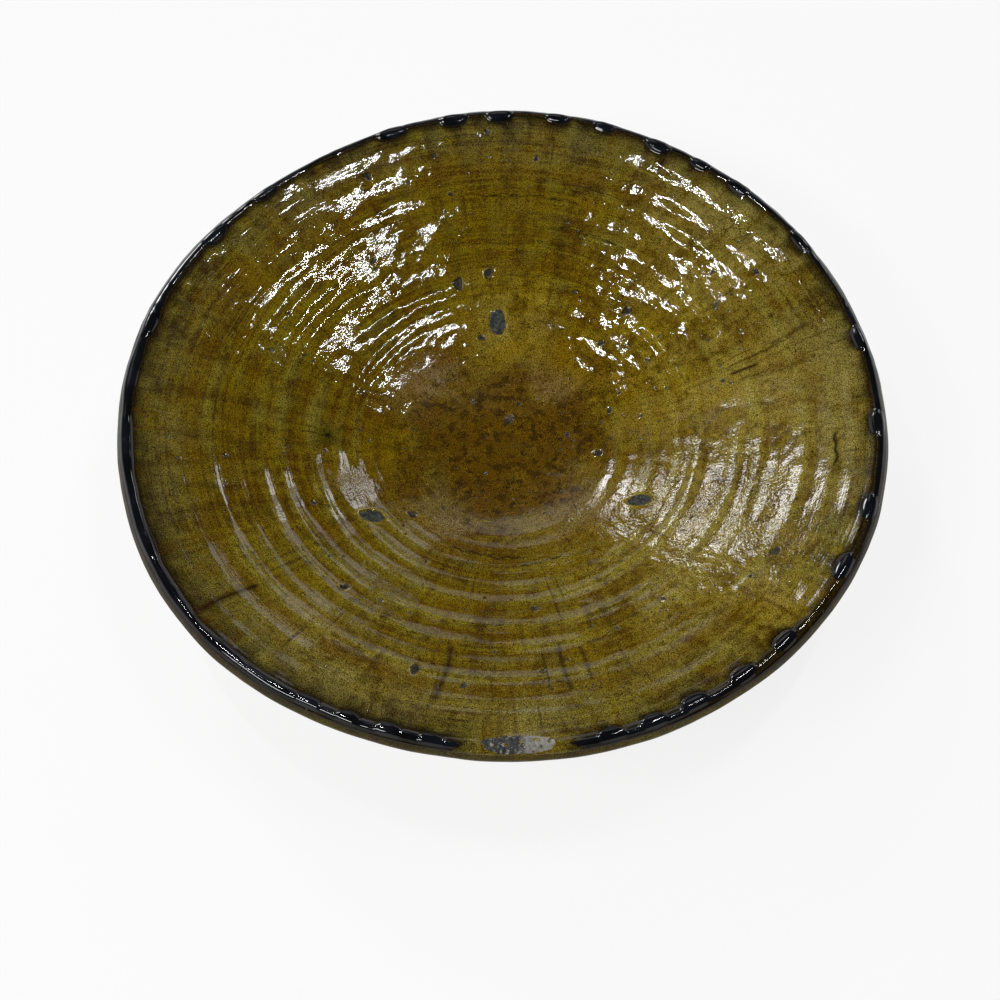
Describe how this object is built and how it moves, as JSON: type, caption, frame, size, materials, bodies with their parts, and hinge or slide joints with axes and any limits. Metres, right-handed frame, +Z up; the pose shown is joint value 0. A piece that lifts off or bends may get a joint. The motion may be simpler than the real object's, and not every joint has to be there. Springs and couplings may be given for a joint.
{
  "type": "serving plate",
  "caption": "Wide thrown earthenware serving plate with a ringed, sloping wall, a rolled lip, a low foot ring, amber-olive glaze and a dark dabbed rim.",
  "frame": {"origin": "on the plate's axis, on the table under the foot ring", "axes": "+Z up along the axis of the plate, -Y towards the side with the bare gap in the dark rim"},
  "size_m": [0.35, 0.35, 0.064],
  "materials": {
    "clay": "matte, gritty fired earthenware",
    "amber_glaze": "glossy, mottled amber-olive",
    "dark_glaze": "thick, glossy, nearly black",
    "scar": "rough grey clay and worn glaze"
  },
  "bodies": {
    "root": {"clay_body": "clay", "foot_ring": "clay", "inside_glaze": "amber_glaze", "outside_glaze": "amber_glaze", "rim_glaze": "dark_glaze", "stilt_scars": "scar", "rim_scar": "scar"}
  },
  "joints": []
}
